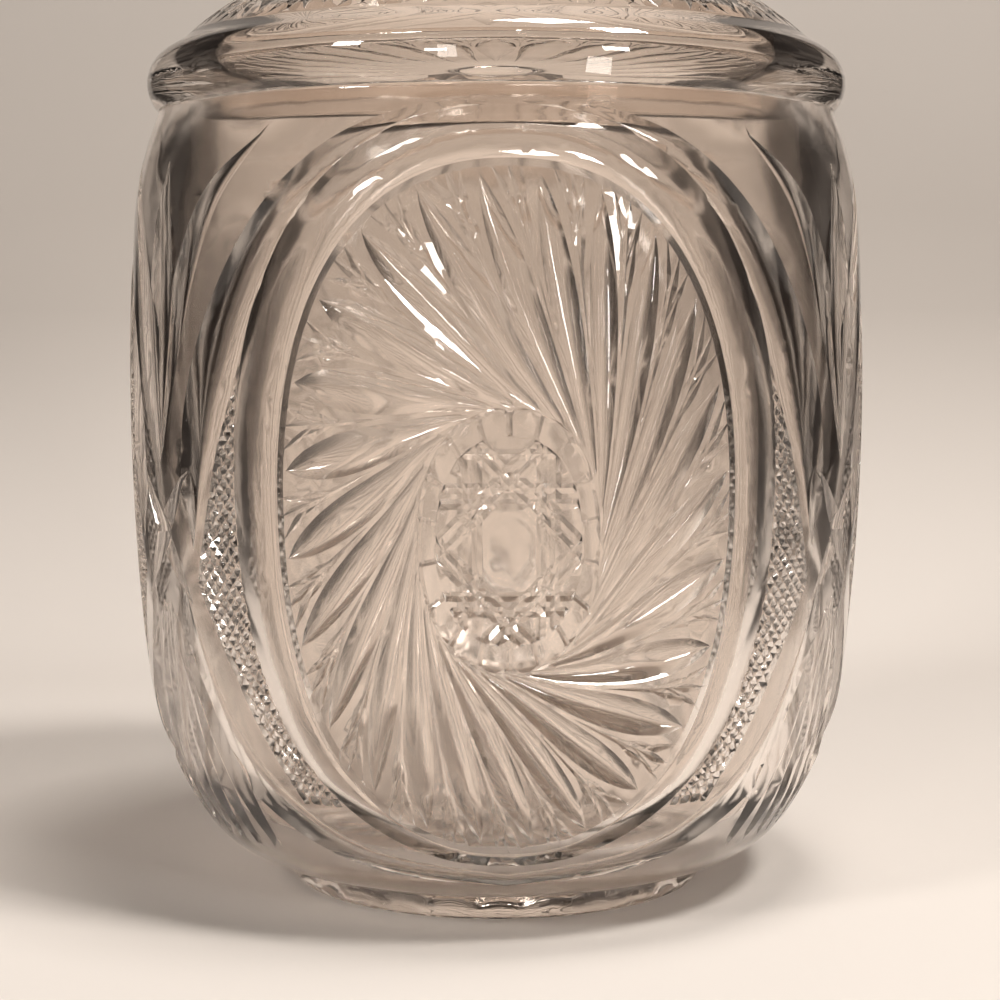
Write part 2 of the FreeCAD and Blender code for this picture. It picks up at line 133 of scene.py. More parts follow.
class JarReliefSizes(bpy.types.PropertyGroup):
    """Sizes of the relief pressed into the jar and the lid"""

    blades: bpy.props.IntProperty(name="Blades", description="Leaf cuts in each whirl", default=24)
    blade_steepness: bpy.props.FloatProperty(
        name="Blade steepness", description="Depth of a leaf cut by its half width", default=0.56
    )
    split_depth: bpy.props.FloatProperty(
        name="Split depth", description="Depth of the fine splits", default=0.0006, unit="LENGTH"
    )
    field_depth: bpy.props.FloatProperty(
        name="Field depth", description="How far the oval's field is sunk", default=0.0006, unit="LENGTH"
    )
    cove_depth: bpy.props.FloatProperty(
        name="Cove depth", description="Depth of the oval's smooth frame", default=0.0019, unit="LENGTH"
    )
    arch_depth: bpy.props.FloatProperty(
        name="Arch depth", description="Depth of the arches beside the frame", default=0.0022, unit="LENGTH"
    )
    point_pitch: bpy.props.FloatProperty(
        name="Point pitch", description="Spacing of the diamond points", default=0.0019, unit="LENGTH"
    )
    point_depth: bpy.props.FloatProperty(
        name="Point depth", description="Height of the diamond points", default=0.0007, unit="LENGTH"
    )


class GlassFinish(bpy.types.PropertyGroup):
    """Colour and polish of the glass"""

    tint: bpy.props.FloatVectorProperty(
        name="Glass tint", description="Faint warm tint", subtype="COLOR", default=linear("#fcf5ef")
    )
    roughness: bpy.props.FloatProperty(
        name="Roughness", description="Micro-roughness of the outside", subtype="FACTOR", default=0.012
    )
    inside_roughness: bpy.props.FloatProperty(
        name="Inside roughness", description="Micro-roughness of the inside", subtype="FACTOR", default=0.13
    )
    refraction: bpy.props.FloatProperty(name="IOR", description="Soda-lime glass", default=1.52)


# The dark room's shade that the glass finds round the cloth, painted on the cloth beyond its lit patch, and
# where the cloth fades into it, in metres
ROOM_SHADE = "#211a16"
LIT_ASIDE = (0.25, 0.29)
LIT_BEFORE = (-0.34, -0.40)
# Heights in metres between which the floor's colour turns into the wall's darker one, painted shade where the
# cloth rises
WALL_SHADE_RISE = (0.005, 0.12)


class StageColours(bpy.types.PropertyGroup):
    """Colours of the floor, the backdrop darkened by painted shade, and the light"""

    cloth: bpy.props.FloatVectorProperty(
        name="Floor", description="Pale floor", subtype="COLOR", default=linear("#e2d9d1")
    )
    # The wall's colour is the floor's made darker: painted shade of the upright backdrop
    shaded_wall: bpy.props.FloatVectorProperty(
        name="Curtain", description="Pale wall behind", subtype="COLOR", default=linear("#bdb4ac")
    )
    lamp: bpy.props.FloatVectorProperty(
        name="Lamp", description="Warm white lamps", subtype="COLOR", default=linear("#fffcf8")
    )


def tangent_arc(start, heading, end):
    """Centre, radius and leaving direction of the arc that leaves start along heading and reaches end."""
    chord = (end[0] - start[0], end[1] - start[1])
    normal = (heading[1], -heading[0])
    across = normal[0] * chord[0] + normal[1] * chord[1]
    radius = (chord[0] ** 2 + chord[1] ** 2) / (2 * across)
    centre = (start[0] + normal[0] * radius, start[1] + normal[1] * radius)
    turn = 2 * math.atan2(across, heading[0] * chord[0] + heading[1] * chord[1])
    leaving = (
        heading[0] * math.cos(turn) + heading[1] * math.sin(turn),
        heading[1] * math.cos(turn) - heading[0] * math.sin(turn),
    )
    return centre, abs(radius), leaving


def arc_chain(places, heading):
    """Arcs through places, each leaving along the way the one before it arrived."""
    arcs = []
    for start, end in zip(places, places[1:]):
        centre, radius, heading = tangent_arc(start, heading, end)
        arcs.append((centre, radius, start, end))
    return arcs


def arc_points(arc, count):
    """Points along an arc of arc_chain, without its start."""
    centre, radius, start, end = arc
    first = math.atan2(start[1] - centre[1], start[0] - centre[0])
    last = math.atan2(end[1] - centre[1], end[0] - centre[0])
    sweep = (last - first + math.pi) % (2 * math.pi) - math.pi
    turns = [first + sweep * i / count for i in range(1, count + 1)]
    return [(centre[0] + radius * math.cos(turn), centre[1] + radius * math.sin(turn)) for turn in turns]


# The outline's arcs, from the belly up and from the belly down
OUTLINE = arc_chain([BELLY, SHOULDER, RIM], (0, 1)) + arc_chain([BELLY, HIP, HEEL, WAIST], (0, -1))


def outline_at(height):
    """Radius and outward normal of the jar's outline at an array of heights."""
    radius = np.zeros_like(height)
    normal_r = np.zeros_like(height)
    normal_z = np.zeros_like(height)
    for centre, arc_radius, start, end in OUTLINE:
        low, high = sorted((start[1], end[1]))
        here = (height >= low - 0.01) & (height <= high + 0.01)
        rise = height[here] - centre[1]
        reach = np.sqrt(np.maximum(arc_radius ** 2 - rise ** 2, 0.0))
        radius[here] = centre[0] + reach
        normal_r[here] = reach / arc_radius
        normal_z[here] = rise / arc_radius
    return radius, normal_r, normal_z


# Millimetres round the belly for each degree
ROUND_MM = BELLY[0] * math.pi / 180


class Groove:
    """A pressed groove along stations of place, half width and depth, on an unwrapped sheet in mm."""

    def __init__(self, stations, rounded=False, mask=None):
        self.stations = np.array(stations, float)
        self.power = 2.0 if rounded else 1.0
        self.lanes = (-1, -0.66, -0.33, 0, 0.33, 0.66, 1) if rounded else (-1, 0, 1)
        self.mask = mask

    def depth_at(self, points):
        """Indices of the points that this groove reaches, and its depth there."""
        reach = self.stations[:, 2].max()
        low = self.stations[:, :2].min(0) - reach
        high = self.stations[:, :2].max(0) + reach
        near = np.nonzero(((points >= low) & (points <= high)).all(1))[0]
        best = np.zeros(len(near))
        spots = points[near]
        for a, b in zip(self.stations, self.stations[1:]):
            way = b[:2] - a[:2]
            along = np.clip((spots - a[:2]) @ way / max(way @ way, 1e-9), 0, 1)
            off = np.linalg.norm(spots - a[:2] - along[:, None] * way, axis=1)
            half = a[2] + (b[2] - a[2]) * along
            depth = a[3] + (b[3] - a[3]) * along
            share = np.clip(off / np.maximum(half, 0.01), 0, 1)
            best = np.maximum(best, depth * (1 - share ** self.power))
        if self.mask is not None:
            best = np.where(self.mask(spots), best, 0)
        return near, best

    def lines(self, step):
        """The groove's keel and edges, as lines for the mesh to follow."""
        path = spaced(self.stations, step)
        way = np.gradient(path[:, :2], axis=0)
        way /= np.maximum(np.linalg.norm(way, axis=1), 1e-9)[:, None]
        side = np.stack([-way[:, 1], way[:, 0]], 1)
        return [path[:, :2] + side * (path[:, 2] * lane)[:, None] for lane in self.lanes]


def spaced(stations, step):
    """Stations resampled evenly, about step apart."""
    runs = np.linalg.norm(np.diff(stations[:, :2], axis=0), axis=1)
    along = np.concatenate([[0], np.cumsum(runs)])
    count = max(int(round(along[-1] / step)), 1)
    even = np.linspace(0, along[-1], count + 1)
    return np.stack([np.interp(even, along, stations[:, i]) for i in range(stations.shape[1])], 1)


def smooth_path(stations, count=8):
    """A Catmull-Rom curve through the stations."""
    s = np.array(stations, float)
    s = np.vstack([2 * s[0] - s[1], s, 2 * s[-1] - s[-2]])
    out = []
    for i in range(1, len(s) - 2):
        t = np.linspace(0, 1, count, endpoint=False)[:, None]
        a, b, c, d = s[i - 1], s[i], s[i + 1], s[i + 2]
        bend = (2 * a - 5 * b + 4 * c - d) * t ** 2 + (3 * b - a - 3 * c + d) * t ** 3
        out.append(0.5 * (2 * b + (c - a) * t + bend))
    out.append(s[-2][None, :])
    out = np.vstack(out)
    out[:, 2:] = np.maximum(out[:, 2:], 0.02)
    return out


def squareness(x, y):
    """How far the squarish oval stands outside a plain one in a direction."""
    size = np.maximum(np.hypot(x, y), 1e-9)
    power = OVAL_SQUARENESS
    norm = (np.abs(x / size) ** power + np.abs(y / size) ** power) ** (1 / power)
    return 1 / norm


def oval_place(x, y):
    """Unwrapped mm of a place in the large oval, whose edge is at 1 and the small oval's at HEART_SHARE."""
    size = np.hypot(x, y)
    grow = squareness(x, y)
    drop = HEART_DROP * np.clip((1 - size) / (1 - HEART_SHARE), 0, 1)
    across = x * grow * OVAL_HALF[0] * ROUND_MM
    return np.stack([across, OVAL_HEIGHT - drop + y * grow * OVAL_HALF[1]], -1)


def oval_size(points, half, height):
    """1 on the edge of a squarish oval, less inside it."""
    x = points[:, 0] / (half[0] * ROUND_MM)
    y = (points[:, 1] - height) / half[1]
    return np.hypot(x, y) / squareness(x, y)


def heart_size(points):
    """1 on the edge of the small oval, less inside it."""
    half = (OVAL_HALF[0] * HEART_SHARE, OVAL_HALF[1] * HEART_SHARE)
    return oval_size(points, half, OVAL_HEIGHT - HEART_DROP)


def ring(half, height, scale=1.0, count=120):
    """Unwrapped places round a squarish oval, scaled about its middle."""
    turn = np.linspace(0, 2 * math.pi, count + 1)
    x, y = np.cos(turn), np.sin(turn)
    grow = squareness(x, y) * scale
    return np.stack([x * grow * half[0] * ROUND_MM, height + y * grow * half[1]], -1)


def whirl_line(turn, sizes, lean=0.0, base=None):
    """Places along a line that leaves the small oval as its tangent, at the given sizes of oval."""
    start = HEART_SHARE * np.array([math.cos(turn), math.sin(turn)])
    way = np.array([-math.sin(turn), math.cos(turn)])
    runs = np.sqrt(np.maximum(np.array(sizes) ** 2 - HEART_SHARE ** 2, 0))
    places = start + runs[:, None] * way
    if base is not None:
        origin = start + math.sqrt(base ** 2 - HEART_SHARE ** 2) * way
        tilt = np.array([
            way[0] * math.cos(lean) - way[1] * math.sin(lean),
            way[0] * math.sin(lean) + way[1] * math.cos(lean),
        ])
        places = origin + (runs - runs[0])[:, None] * tilt
    return oval_place(places[:, 0], places[:, 1])


def whirl_spacing(turn, size, step):
    """How far apart neighbouring whirl lines lie at a size of oval, square to them."""
    ahead = whirl_line(turn, (size - 0.01, size + 0.01))
    way = ahead[1] - ahead[0]
    way /= np.linalg.norm(way)
    gap = whirl_line(turn + step / 2, (size,))[0] - whirl_line(turn - step / 2, (size,))[0]
    return abs(gap[0] * way[1] - gap[1] * way[0])


# Along a leaf cut: size of oval, and share of the spacing that the cut takes
LEAF = (
    (0.384, 0.80), (0.42, 0.88), (0.48, 0.88), (0.56, 0.86), (0.64, 0.80), (0.72, 0.70), (0.80, 0.55),
    (0.87, 0.38), (0.93, 0.18), (0.965, 0.01),
)
# Along the split between two leaves: size of oval, and half width in mm
MIDDLE_SPLIT = ((0.60, 0.1), (0.70, 0.4), (0.82, 0.8), (0.92, 0.9), (0.98, 0.2))
# The splits that fan out from it: lean in radians, and the size of oval where each starts
SIDE_SPLITS = ((0.17, 0.76), (-0.17, 0.74), (0.36, 0.85), (-0.36, 0.84))
SIDE_SPLIT_WIDTHS = (0.1, 0.85, 0.15)
SIDE_SPLIT_STEP = 0.08
SPLIT_END = 0.98


def whirl_grooves(sizes):
    """The leaf cuts of one medallion, with the fine splits between them."""
    grooves = []
    fine = in_mm(sizes.split_depth)
    step = 2 * math.pi / sizes.blades
    for number in range(sizes.blades):
        turn = step * number
        places = whirl_line(turn, [size for size, _ in LEAF])
        stations = []
        for place, (size, share) in zip(places, LEAF):
            half = 0.5 * share * whirl_spacing(turn, size, step)
            stations.append((*place, half, half * sizes.blade_steepness))
        grooves.append(Groove(stations, rounded=True))
        between = turn + step * 0.5
        places = whirl_line(between, [size for size, _ in MIDDLE_SPLIT])
        grooves.append(Groove([(*p, w, fine * w) for p, (_, w) in zip(places, MIDDLE_SPLIT)]))
        for lean, base in SIDE_SPLITS:
            along = [base + SIDE_SPLIT_STEP * i for i in range(len(SIDE_SPLIT_WIDTHS))]
            places = whirl_line(between, along, lean, base)
            reach = oval_size(places, OVAL_HALF, OVAL_HEIGHT).max()
            if reach > SPLIT_END:
                places = places[0] + (places - places[0]) * (SPLIT_END - base) / (reach - base)
            grooves.append(Groove([(*p, w, fine * w) for p, w in zip(places, SIDE_SPLIT_WIDTHS)]))
    return grooves


def mirrored(stations):
    """Stations on the other side of the medallion."""
    return [(-x, *rest) for x, *rest in stations]


def in_degrees(stations):
    """Stations whose first value is in degrees, with it in mm round the jar."""
    return [(angle * ROUND_MM, *rest) for angle, *rest in stations]


# Cuts beside the frame. Each station is degrees from the medallion's middle, height in mm, half width in
# mm and share of the full depth
ARCH = (
    (0, 153.6, 1.4, 0.3), (12, 152.4, 2.2, 0.45), (24, 146.0, 3.6, 0.65), (34, 134.0, 4.8, 0.85),
    (41.5, 119.0, 5.8, 1.0), (46.6, 103.0, 6.6, 1.0), (50.2, 88.0, 4.6, 0.8), (51.0, 74.5, 0.4, 0.1),
)
LOW_ARCH = (
    (54.5, 66.0, 0.5, 0.1), (53.0, 54.0, 3.6, 0.7), (47.5, 39.0, 4.8, 0.9), (38.0, 25.5, 4.0, 0.8),
    (24.0, 16.0, 2.4, 0.5), (0, 12.2, 1.4, 0.3),
)
OUTER_ARCH = (
    (38.0, 150.0, 0.4, 0.1), (47.0, 139.0, 2.6, 0.5), (53.0, 124.0, 3.4, 0.8), (57.0, 106.0, 2.8, 0.7),
    (60.0, 90.0, 0.5, 0.1),
)
SPEAR = ((60.0, 146.5, 0.3, 0.1), (60.0, 133.0, 4.2, 0.9), (60.0, 118.0, 4.8, 1.0), (60.0, 92.0, 0.4, 0.1))
CROSS = ((52.5, 88.0, 0.3, 0.1), (60.0, 75.5, 2.6, 0.8), (67.5, 63.0, 0.3, 0.1))
# The fan's teeth by their spread in degrees, and each tooth's share of it, height, half width and depth
FAN_SPREADS = (-14.0, -9.0, -4.5, 0.0, 4.5, 9.0, 14.0)
FAN_TOOTH = ((0.18, 60.0, 0.2, 0.1), (0.6, 42.0, 2.2, 0.8), (0.95, 27.0, 3.0, 1.0), (1.1, 17.0, 1.6, 0.5))


def beside_grooves(sizes):
    """Arches beside the frame, and the spear, cross and fan on the line between two medallions."""
    deep = in_mm(sizes.arch_depth)
    paths = []
    for side in (1, -1):
        for path in (ARCH, LOW_ARCH, OUTER_ARCH):
            paths.append([(side * angle, *rest) for angle, *rest in path])
            paths.append([(side * (2 * HALF_SECTOR - angle), *rest) for angle, *rest in path])
        paths.append([(side * angle, *rest) for angle, *rest in SPEAR])
        paths.append([(side * angle, *rest) for angle, *rest in CROSS])
        paths.append([(side * (2 * HALF_SECTOR - angle), *rest) for angle, *rest in CROSS])
    grooves = []
    for path in paths:
        scaled = [(x, z, half, depth * deep) for x, z, half, depth in in_degrees(path)]
        grooves.append(Groove(smooth_path(scaled, 5), rounded=True))
    for side in (1, -1):
        for spread in FAN_SPREADS:
            path = [(side * HALF_SECTOR + spread * share, *rest) for share, *rest in FAN_TOOTH]
            scaled = [(x, z, half, depth * deep) for x, z, half, depth in in_degrees(path)]
            grooves.append(Groove(scaled))
    return grooves


# Corners of the strip of diamond points on the side away from the frame: degrees and height in mm
CRESCENT = ((41.6, 106.0), (50.6, 67.0), (33.5, 27.0))
CRESCENT_MIDDLE = (44.0, 66.0)
CRESCENT_REACH = 48.0
CRESCENT_SPAN = 60.0


def in_crescent(points):
    """Whether points lie in the diamond-point crescents beside the frame."""
    angle = np.abs(points[:, 0]) / ROUND_MM
    heights = [corner[1] for corner in CRESCENT][::-1]
    edge = np.interp(points[:, 1], heights, [corner[0] for corner in CRESCENT][::-1])
    inside = (points[:, 1] < heights[-1]) & (points[:, 1] > heights[0])
    return inside & (angle < edge - 0.15) & (oval_size(points, FRAME_HALF, FRAME_HEIGHT) > 1.004)


def crescent_grooves(sizes):
    """Two families of fine grooves that leave small pyramids between them."""
    pitch = in_mm(sizes.point_pitch)
    deep = in_mm(sizes.point_depth)
    slant = math.radians(45)
    middle = np.array([CRESCENT_MIDDLE[0] * ROUND_MM, CRESCENT_MIDDLE[1]])
    grooves = []
    count = int(CRESCENT_REACH / pitch)
    for lean in (slant, -slant):
        way = np.array([math.sin(lean), math.cos(lean)])
        side = np.array([way[1], -way[0]])
        for number in range(-count, count + 1):
            centre = middle + side * pitch * number
            samples = centre + way * np.linspace(-CRESCENT_SPAN, CRESCENT_SPAN, 241)[:, None]
            inside = samples[in_crescent(samples)]
            if len(inside) < 3:
                continue
            ends = [(*inside[0], pitch / 2, deep), (*inside[-1], pitch / 2, deep)]
            grooves.append(Groove(ends, mask=in_crescent))
            grooves.append(Groove(mirrored(ends), mask=in_crescent))
    return grooves


# Inside the small oval, in mm, with offsets from the button's middle
BUTTON_HALF = (4.1, 5.7)
BUTTON_CORNER = 2.75
BUTTON_DROP = 1.5
BUTTON_MIDDLE = OVAL_HEIGHT - HEART_DROP - BUTTON_DROP
BUTTON_BEVEL = 0.5
HEART_INNER = 0.8
BLOCKS = 18
BLOCK_SPLIT_HALF = 0.55
BLOCK_SPLIT_DEPTH = 0.5
HATCH_DEPTH = 1.05
HATCH_REACH = 26.0
HATCH_HALF = 0.95
HATCH_DROP = 0.15
BORDER_DROP = 0.3
HATCH_LEVEL = (8.3, 11.1, 17.2)
HATCH_UPRIGHT = (5.8, 8.4)
HATCH_SLANT = (11.4, 14.6)


def in_button(points, grow=0.0):
    """Whether points lie on the octagonal button, or within grow of it."""
    x = np.abs(points[:, 0])
    z = np.abs(points[:, 1] - BUTTON_MIDDLE)
    wide, high = BUTTON_HALF[0] + grow, BUTTON_HALF[1] + grow
    return (x < wide) & (z < high) & (x + z < wide + high - BUTTON_CORNER - grow * 0.6)


def in_hatch(points):
    """Whether points lie between the button and the small oval's border."""
    return (heart_size(points) < HEART_INNER - 0.01) & ~in_button(points, BUTTON_BEVEL)


def heart_grooves(sizes):
    """The small oval: blocks round its edge, and crossing pairs of fine grooves round a flat button."""
    fine = in_mm(sizes.split_depth)
    grooves = []
    for number in range(BLOCKS):
        turn = 2 * math.pi * (number + 0.5) / BLOCKS
        ends = []
        for share in (HEART_INNER + 0.01, 0.9, 0.98):
            out = HEART_SHARE * share
            place = oval_place(np.array([out * math.cos(turn)]), np.array([out * math.sin(turn)]))[0]
            ends.append((*place, BLOCK_SPLIT_HALF, fine * BLOCK_SPLIT_DEPTH))
        grooves.append(Groove(ends))
    lines = []
    far = HATCH_REACH
    deep = fine * HATCH_DEPTH
    for side in (1, -1):
        lines += [((-far, side * offset), (far, side * offset)) for offset in HATCH_LEVEL]
        lines += [((side * offset, -far), (side * offset, far)) for offset in HATCH_UPRIGHT]
        for offset in HATCH_SLANT:
            for rise in (-far, far):
                lines += [((0, side * offset), (run, side * offset + rise)) for run in (far, -far)]
    for (x0, z0), (x1, z1) in lines:
        samples = np.stack([np.linspace(x0, x1, 260), BUTTON_MIDDLE + np.linspace(z0, z1, 260)], 1)
        inside = in_hatch(samples)
        bounds = np.flatnonzero(np.diff(np.concatenate([[0], inside.astype(int), [0]])))
        for first, last in zip(bounds[::2], bounds[1::2]):
            if last - first > 8:
                ends = [(*samples[first], HATCH_HALF, deep), (*samples[last - 1], HATCH_HALF, deep)]
                grooves.append(Groove(ends, mask=in_hatch))
    return grooves


def deepest(grooves, points):
    """How deep the grooves are at unwrapped points."""
    depth = np.zeros(len(points))
    for groove in grooves:
        near, value = groove.depth_at(points)
        np.maximum.at(depth, near, value)
    return depth


def jar_relief_depth(points, grooves, sizes):
    """How deep the relief lies under the outline at unwrapped points."""
    depth = np.zeros(len(points))
    field = oval_size(points, OVAL_HALF, OVAL_HEIGHT)
    outer = oval_size(points, FRAME_HALF, FRAME_HEIGHT)
    across = np.clip((field - 1) / np.maximum(field - outer, 1e-6), 0, 1)
    in_frame = (field >= 1) & (outer <= 1)
    depth = np.where(in_frame, in_mm(sizes.cove_depth) * 4 * across * (1 - across), depth)
    sunk = np.clip((1 - field) / FIELD_BEVEL, 0, 1) * in_mm(sizes.field_depth)
    depth = np.where(field < 1, sunk, depth)
    heart = heart_size(points)
    border = np.clip((1 - heart) / BORDER_BEVEL, 0, 1) * BORDER_DROP
    depth = np.where(heart < 1, border, depth)
    depth = np.where(in_hatch(points), border + HATCH_DROP, depth)
    extra = deepest(grooves, points)
    in_cove = (field > 0.999) & (outer < 1.002)
    extra = np.where(in_cove, 0, extra)
    extra = np.where((heart > 0.985) & (heart < 1.002), 0, extra)
    return depth + extra


def guide_lines(grooves, sizes):
    """Lines that the jar's mesh follows: ovals, cove, crescents and every groove."""
    lines = []
    for scale in (1.0, 0.98):
        lines.append(ring(OVAL_HALF, OVAL_HEIGHT, scale, 150))
    inner = ring(OVAL_HALF, OVAL_HEIGHT, 1.0, 132)
    outer = ring(FRAME_HALF, FRAME_HEIGHT, 1.0, 132)
    for share in (0.12, 0.3, 0.5, 0.7, 0.88, 1.0):
        lines.append(inner + (outer - inner) * share)
    heart = (OVAL_HALF[0] * HEART_SHARE, OVAL_HALF[1] * HEART_SHARE)
    for scale in (1.012, 1.0, 0.96, HEART_INNER + 0.03, HEART_INNER):
        lines.append(ring(heart, OVAL_HEIGHT - HEART_DROP, scale, 66))
    for side in (1, -1):
        corners = [(side * a, z) for a, z in CRESCENT]
        lines.append(spaced(np.array(in_degrees(corners)), 1.5))
    lines.append(ring(FRAME_HALF, FRAME_HEIGHT, 1.012, 150))
    wide, high = BUTTON_HALF
    cut = BUTTON_CORNER
    middle = BUTTON_MIDDLE
    corners = []
    for sx, sz, flip in ((1, 1, 0), (-1, 1, 1), (-1, -1, 0), (1, -1, 1)):
        pair = [(sx * wide, middle + sz * (high - cut)), (sx * (wide - cut), middle + sz * high)]
        corners += pair[::-1] if flip else pair
    corners.append(corners[0])
    for grow in (1.0, 1.14):
        scaled = [(x * grow, middle + (z - middle) * grow) for x, z in corners]
        lines.append(spaced(np.array(scaled), 2.0))
    step = 2 * math.pi / sizes.blades
    for number in range(sizes.blades):
        lines.append(whirl_line(step * (number + 0.5), np.linspace(0.38, 0.6, 12)))
    for groove in grooves:
        lines += groove.lines(FINE_LINE_STEP if groove.mask else LINE_STEP)
    return lines


def sheet_triangles(lines, half_width, low, high, column_count):
    """Points and triangles of the unwrapped sheet, along the guide lines and its own border."""
    columns = np.linspace(-half_width, half_width, column_count + 1)
    rows = np.linspace(low, high, int((high - low) / MESH_STEP) + 1)
    border = [np.stack([columns, np.full(len(columns), z)], 1) for z in (low, high)]
    border += [np.stack([np.full(len(rows), x), rows], 1) for x in (-half_width, half_width)]
    points = []
    edges = []
    taken = set()
    for line in border + lines:
        start = len(points)
        for place in line:
            points.append(Vector((float(place[0]), float(place[1]))))
            taken.add((int(place[0] // MESH_CLEARANCE), int(place[1] // MESH_CLEARANCE)))
        edges += [(i, i + 1) for i in range(start, start + len(line) - 1)]
    for number, z in enumerate(np.arange(low + MESH_STEP / 2, high - 1.0, MESH_ROW)):
        first = -half_width + MESH_STEP / 2 + (number % 2) * MESH_STEP / 2
        for x in np.arange(first, half_width - 1.0, MESH_STEP):
            if (int(x // MESH_CLEARANCE), int(z // MESH_CLEARANCE)) not in taken:
                points.append(Vector((float(x), float(z))))
    result = delaunay_2d_cdt(points, edges, [], 0, MESH_TOLERANCE)
    places = np.array([(v.x, v.y) for v in result[0]])
    faces = np.array([face for face in result[2] if len(face) == 3])
    middle = places[faces].mean(1)
    inside = (np.abs(middle[:, 0]) < half_width) & (middle[:, 1] > low) & (middle[:, 1] < high)
    return places, faces[inside]


START = -math.pi / 2 - math.pi / SECTORS


def ring_quads(rows, columns):
    """Quads between rows of points that go round the axis."""
    faces = []
    for row in range(rows - 1):
        for number in range(columns):
            a, b = row * columns + number, row * columns + (number + 1) % columns
            faces.append((a, b, b + columns, a + columns))
    return faces


def revolved(profile, columns, start=START, shape=None):
    """Points and quads of a profile of radius and height turned round the axis."""
    points = []
    for radius, height in profile:
        for number in range(columns):
            turn = 2 * math.pi * number / columns + start
            reach = radius * shape(turn) if shape else radius
            points.append((reach * math.cos(turn), reach * math.sin(turn), height))
    return points, ring_quads(len(profile), columns)


def glass_mesh(name, parts):
    """One closed mesh from point and face lists in mm, welded and with sharp creases."""
    points = []
    faces = []
    for part_points, part_faces in parts:
        start = len(points)
        points += [tuple(c * MM for c in p) for p in part_points]
        faces += [tuple(start + int(i) for i in face) for face in part_faces]
    mesh = bpy.data.meshes.new(name)
    mesh.from_pydata(points, [], faces)
    work = bmesh.new()
    work.from_mesh(mesh)
    bmesh.ops.remove_doubles(work, verts=work.verts, dist=WELD)
    bmesh.ops.dissolve_degenerate(work, edges=work.edges, dist=SHORTEST_EDGE)
    bmesh.ops.recalc_face_normals(work, faces=work.faces)
    loose = [edge for edge in work.edges if not edge.is_manifold]
    print(name, "faces", len(work.faces), "open edges", len(loose))
    work.to_mesh(mesh)
    work.free()
    mesh.shade_smooth()
    mesh.set_sharp_from_angle(angle=CREASE)
    piece = bpy.data.objects.new(name, mesh)
    bpy.context.collection.objects.link(piece)
    return piece


def mark_inside(mesh):
    """Note the inside's faces, above the floor, which look towards the jar's axis."""
    skin = mesh.attributes.new(PLUNGER_SKIN, "FLOAT", "FACE")
    for face, value in zip(mesh.polygons, skin.data):
        inward = face.normal.x * face.center.x + face.normal.y * face.center.y
        reach = math.hypot(face.center.x, face.center.y)
        value.value = 1.0 if inward < -INWARD * reach and face.center.z > FLOOR_TOP * MM else 0.0


def wrapped(radius, height, turn, faces):
    """A sheet's points and triangles, laid round the axis."""
    return np.stack([radius * np.cos(turn), radius * np.sin(turn), height], 1).tolist(), faces


def jar_sheet(sizes):
    """The jar's patterned outside, all three sectors."""
    grooves = whirl_grooves(sizes) + heart_grooves(sizes)
    grooves += crescent_grooves(sizes) + beside_grooves(sizes)
    half_width = HALF_SECTOR * ROUND_MM
    lines = guide_lines(grooves, sizes)
    places, faces = sheet_triangles(lines, half_width, FIELD_LOW, FIELD_HIGH, COLUMNS)
    height = places[:, 1]
    depth = jar_relief_depth(places, grooves, sizes)
    from_edge = np.minimum(height - FIELD_LOW, FIELD_HIGH - height)
    depth *= np.clip(from_edge / FIELD_FADE, 0, 1)
    radius, normal_r, normal_z = outline_at(height)
    radius = radius - depth * normal_r
    height = height - depth * normal_z
    parts = []
    for sector in range(SECTORS):
        turn = places[:, 0] / ROUND_MM * math.pi / 180 + 2 * math.pi * sector / SECTORS - math.pi / 2
        parts.append(wrapped(radius, height, turn, faces))
    return parts


def quarter(steps):
    """Sines and cosines over a quarter turn."""
    turns = [math.pi / 2 * number / steps for number in range(steps + 1)]
    return [(math.sin(turn), math.cos(turn)) for turn in turns]


def jar_plain_parts():
    """Foot, underside, rim and inside of the jar."""
    columns = COLUMNS * SECTORS
    crown = arc_points(OUTLINE[1], 24)
    crown = [p for p in crown if FIELD_HIGH + 0.3 < p[1] < JAR_TOP - RIM_ROUND]
    edge_radius = outline_at(np.array([FIELD_HIGH]))[0][0]
    rim_out = outline_at(np.array([JAR_TOP - RIM_ROUND]))[0][0]
    rim = [(edge_radius, FIELD_HIGH)] + crown
    for sine, cosine in quarter(4):
        rim.append((rim_out - RIM_ROUND * (1 - cosine), JAR_TOP - RIM_ROUND * (1 - sine)))
    for sine, cosine in quarter(4):
        rim.append((MOUTH_RADIUS + RIM_ROUND * (1 - sine), JAR_TOP - RIM_ROUND * (1 - cosine)))
    throat = (MOUTH_RADIUS, JAR_TOP - MOUTH_DEPTH)
    inner_belly = (BELLY[0] - WALL, BELLY[1])
    upper = arc_chain([inner_belly, throat], (0, 1))[0]
    inner_heel = (outline_at(np.array([INNER_HEEL_HEIGHT]))[0][0] - WALL, INNER_HEEL_HEIGHT)
    lower = arc_chain([inner_belly, inner_heel, (FLOOR_RADIUS, FLOOR_TOP)], (0, -1))
    inside = rim + [throat] + arc_points(upper, 14)[::-1][1:] + [inner_belly]
    for arc in lower:
        inside += arc_points(arc, 16)
    inside += [(FLOOR_RADIUS * share, FLOOR_TOP) for share in (0.7, 0.4, 0.15)]
    low_radius = outline_at(np.array([FIELD_LOW]))[0][0]
    foot = [(low_radius, FIELD_LOW)]
    foot += [p for p in arc_points(OUTLINE[4], 16) if p[1] < FIELD_LOW - 0.2 or p[0] < low_radius - 1]
    ring_bottom = FOOT_RADIUS - FOOT_ROUND
    for number, (_, cosine) in enumerate(quarter(8)):
        out = FOOT_BULGE * math.sin(math.pi * number / 8) + (ring_bottom - WAIST[0]) * number / 8
        foot.append((WAIST[0] + out, WAIST[1] * cosine))
    foot += [(HOLLOW_RADIUS + 1.2, 0.0), (HOLLOW_RADIUS, 0.4)]
    foot.append((HOLLOW_RADIUS - HOLLOW_DEPTH, HOLLOW_DEPTH))
    return [revolved(inside, columns), revolved(foot, columns)], inside[-1], foot[-1]


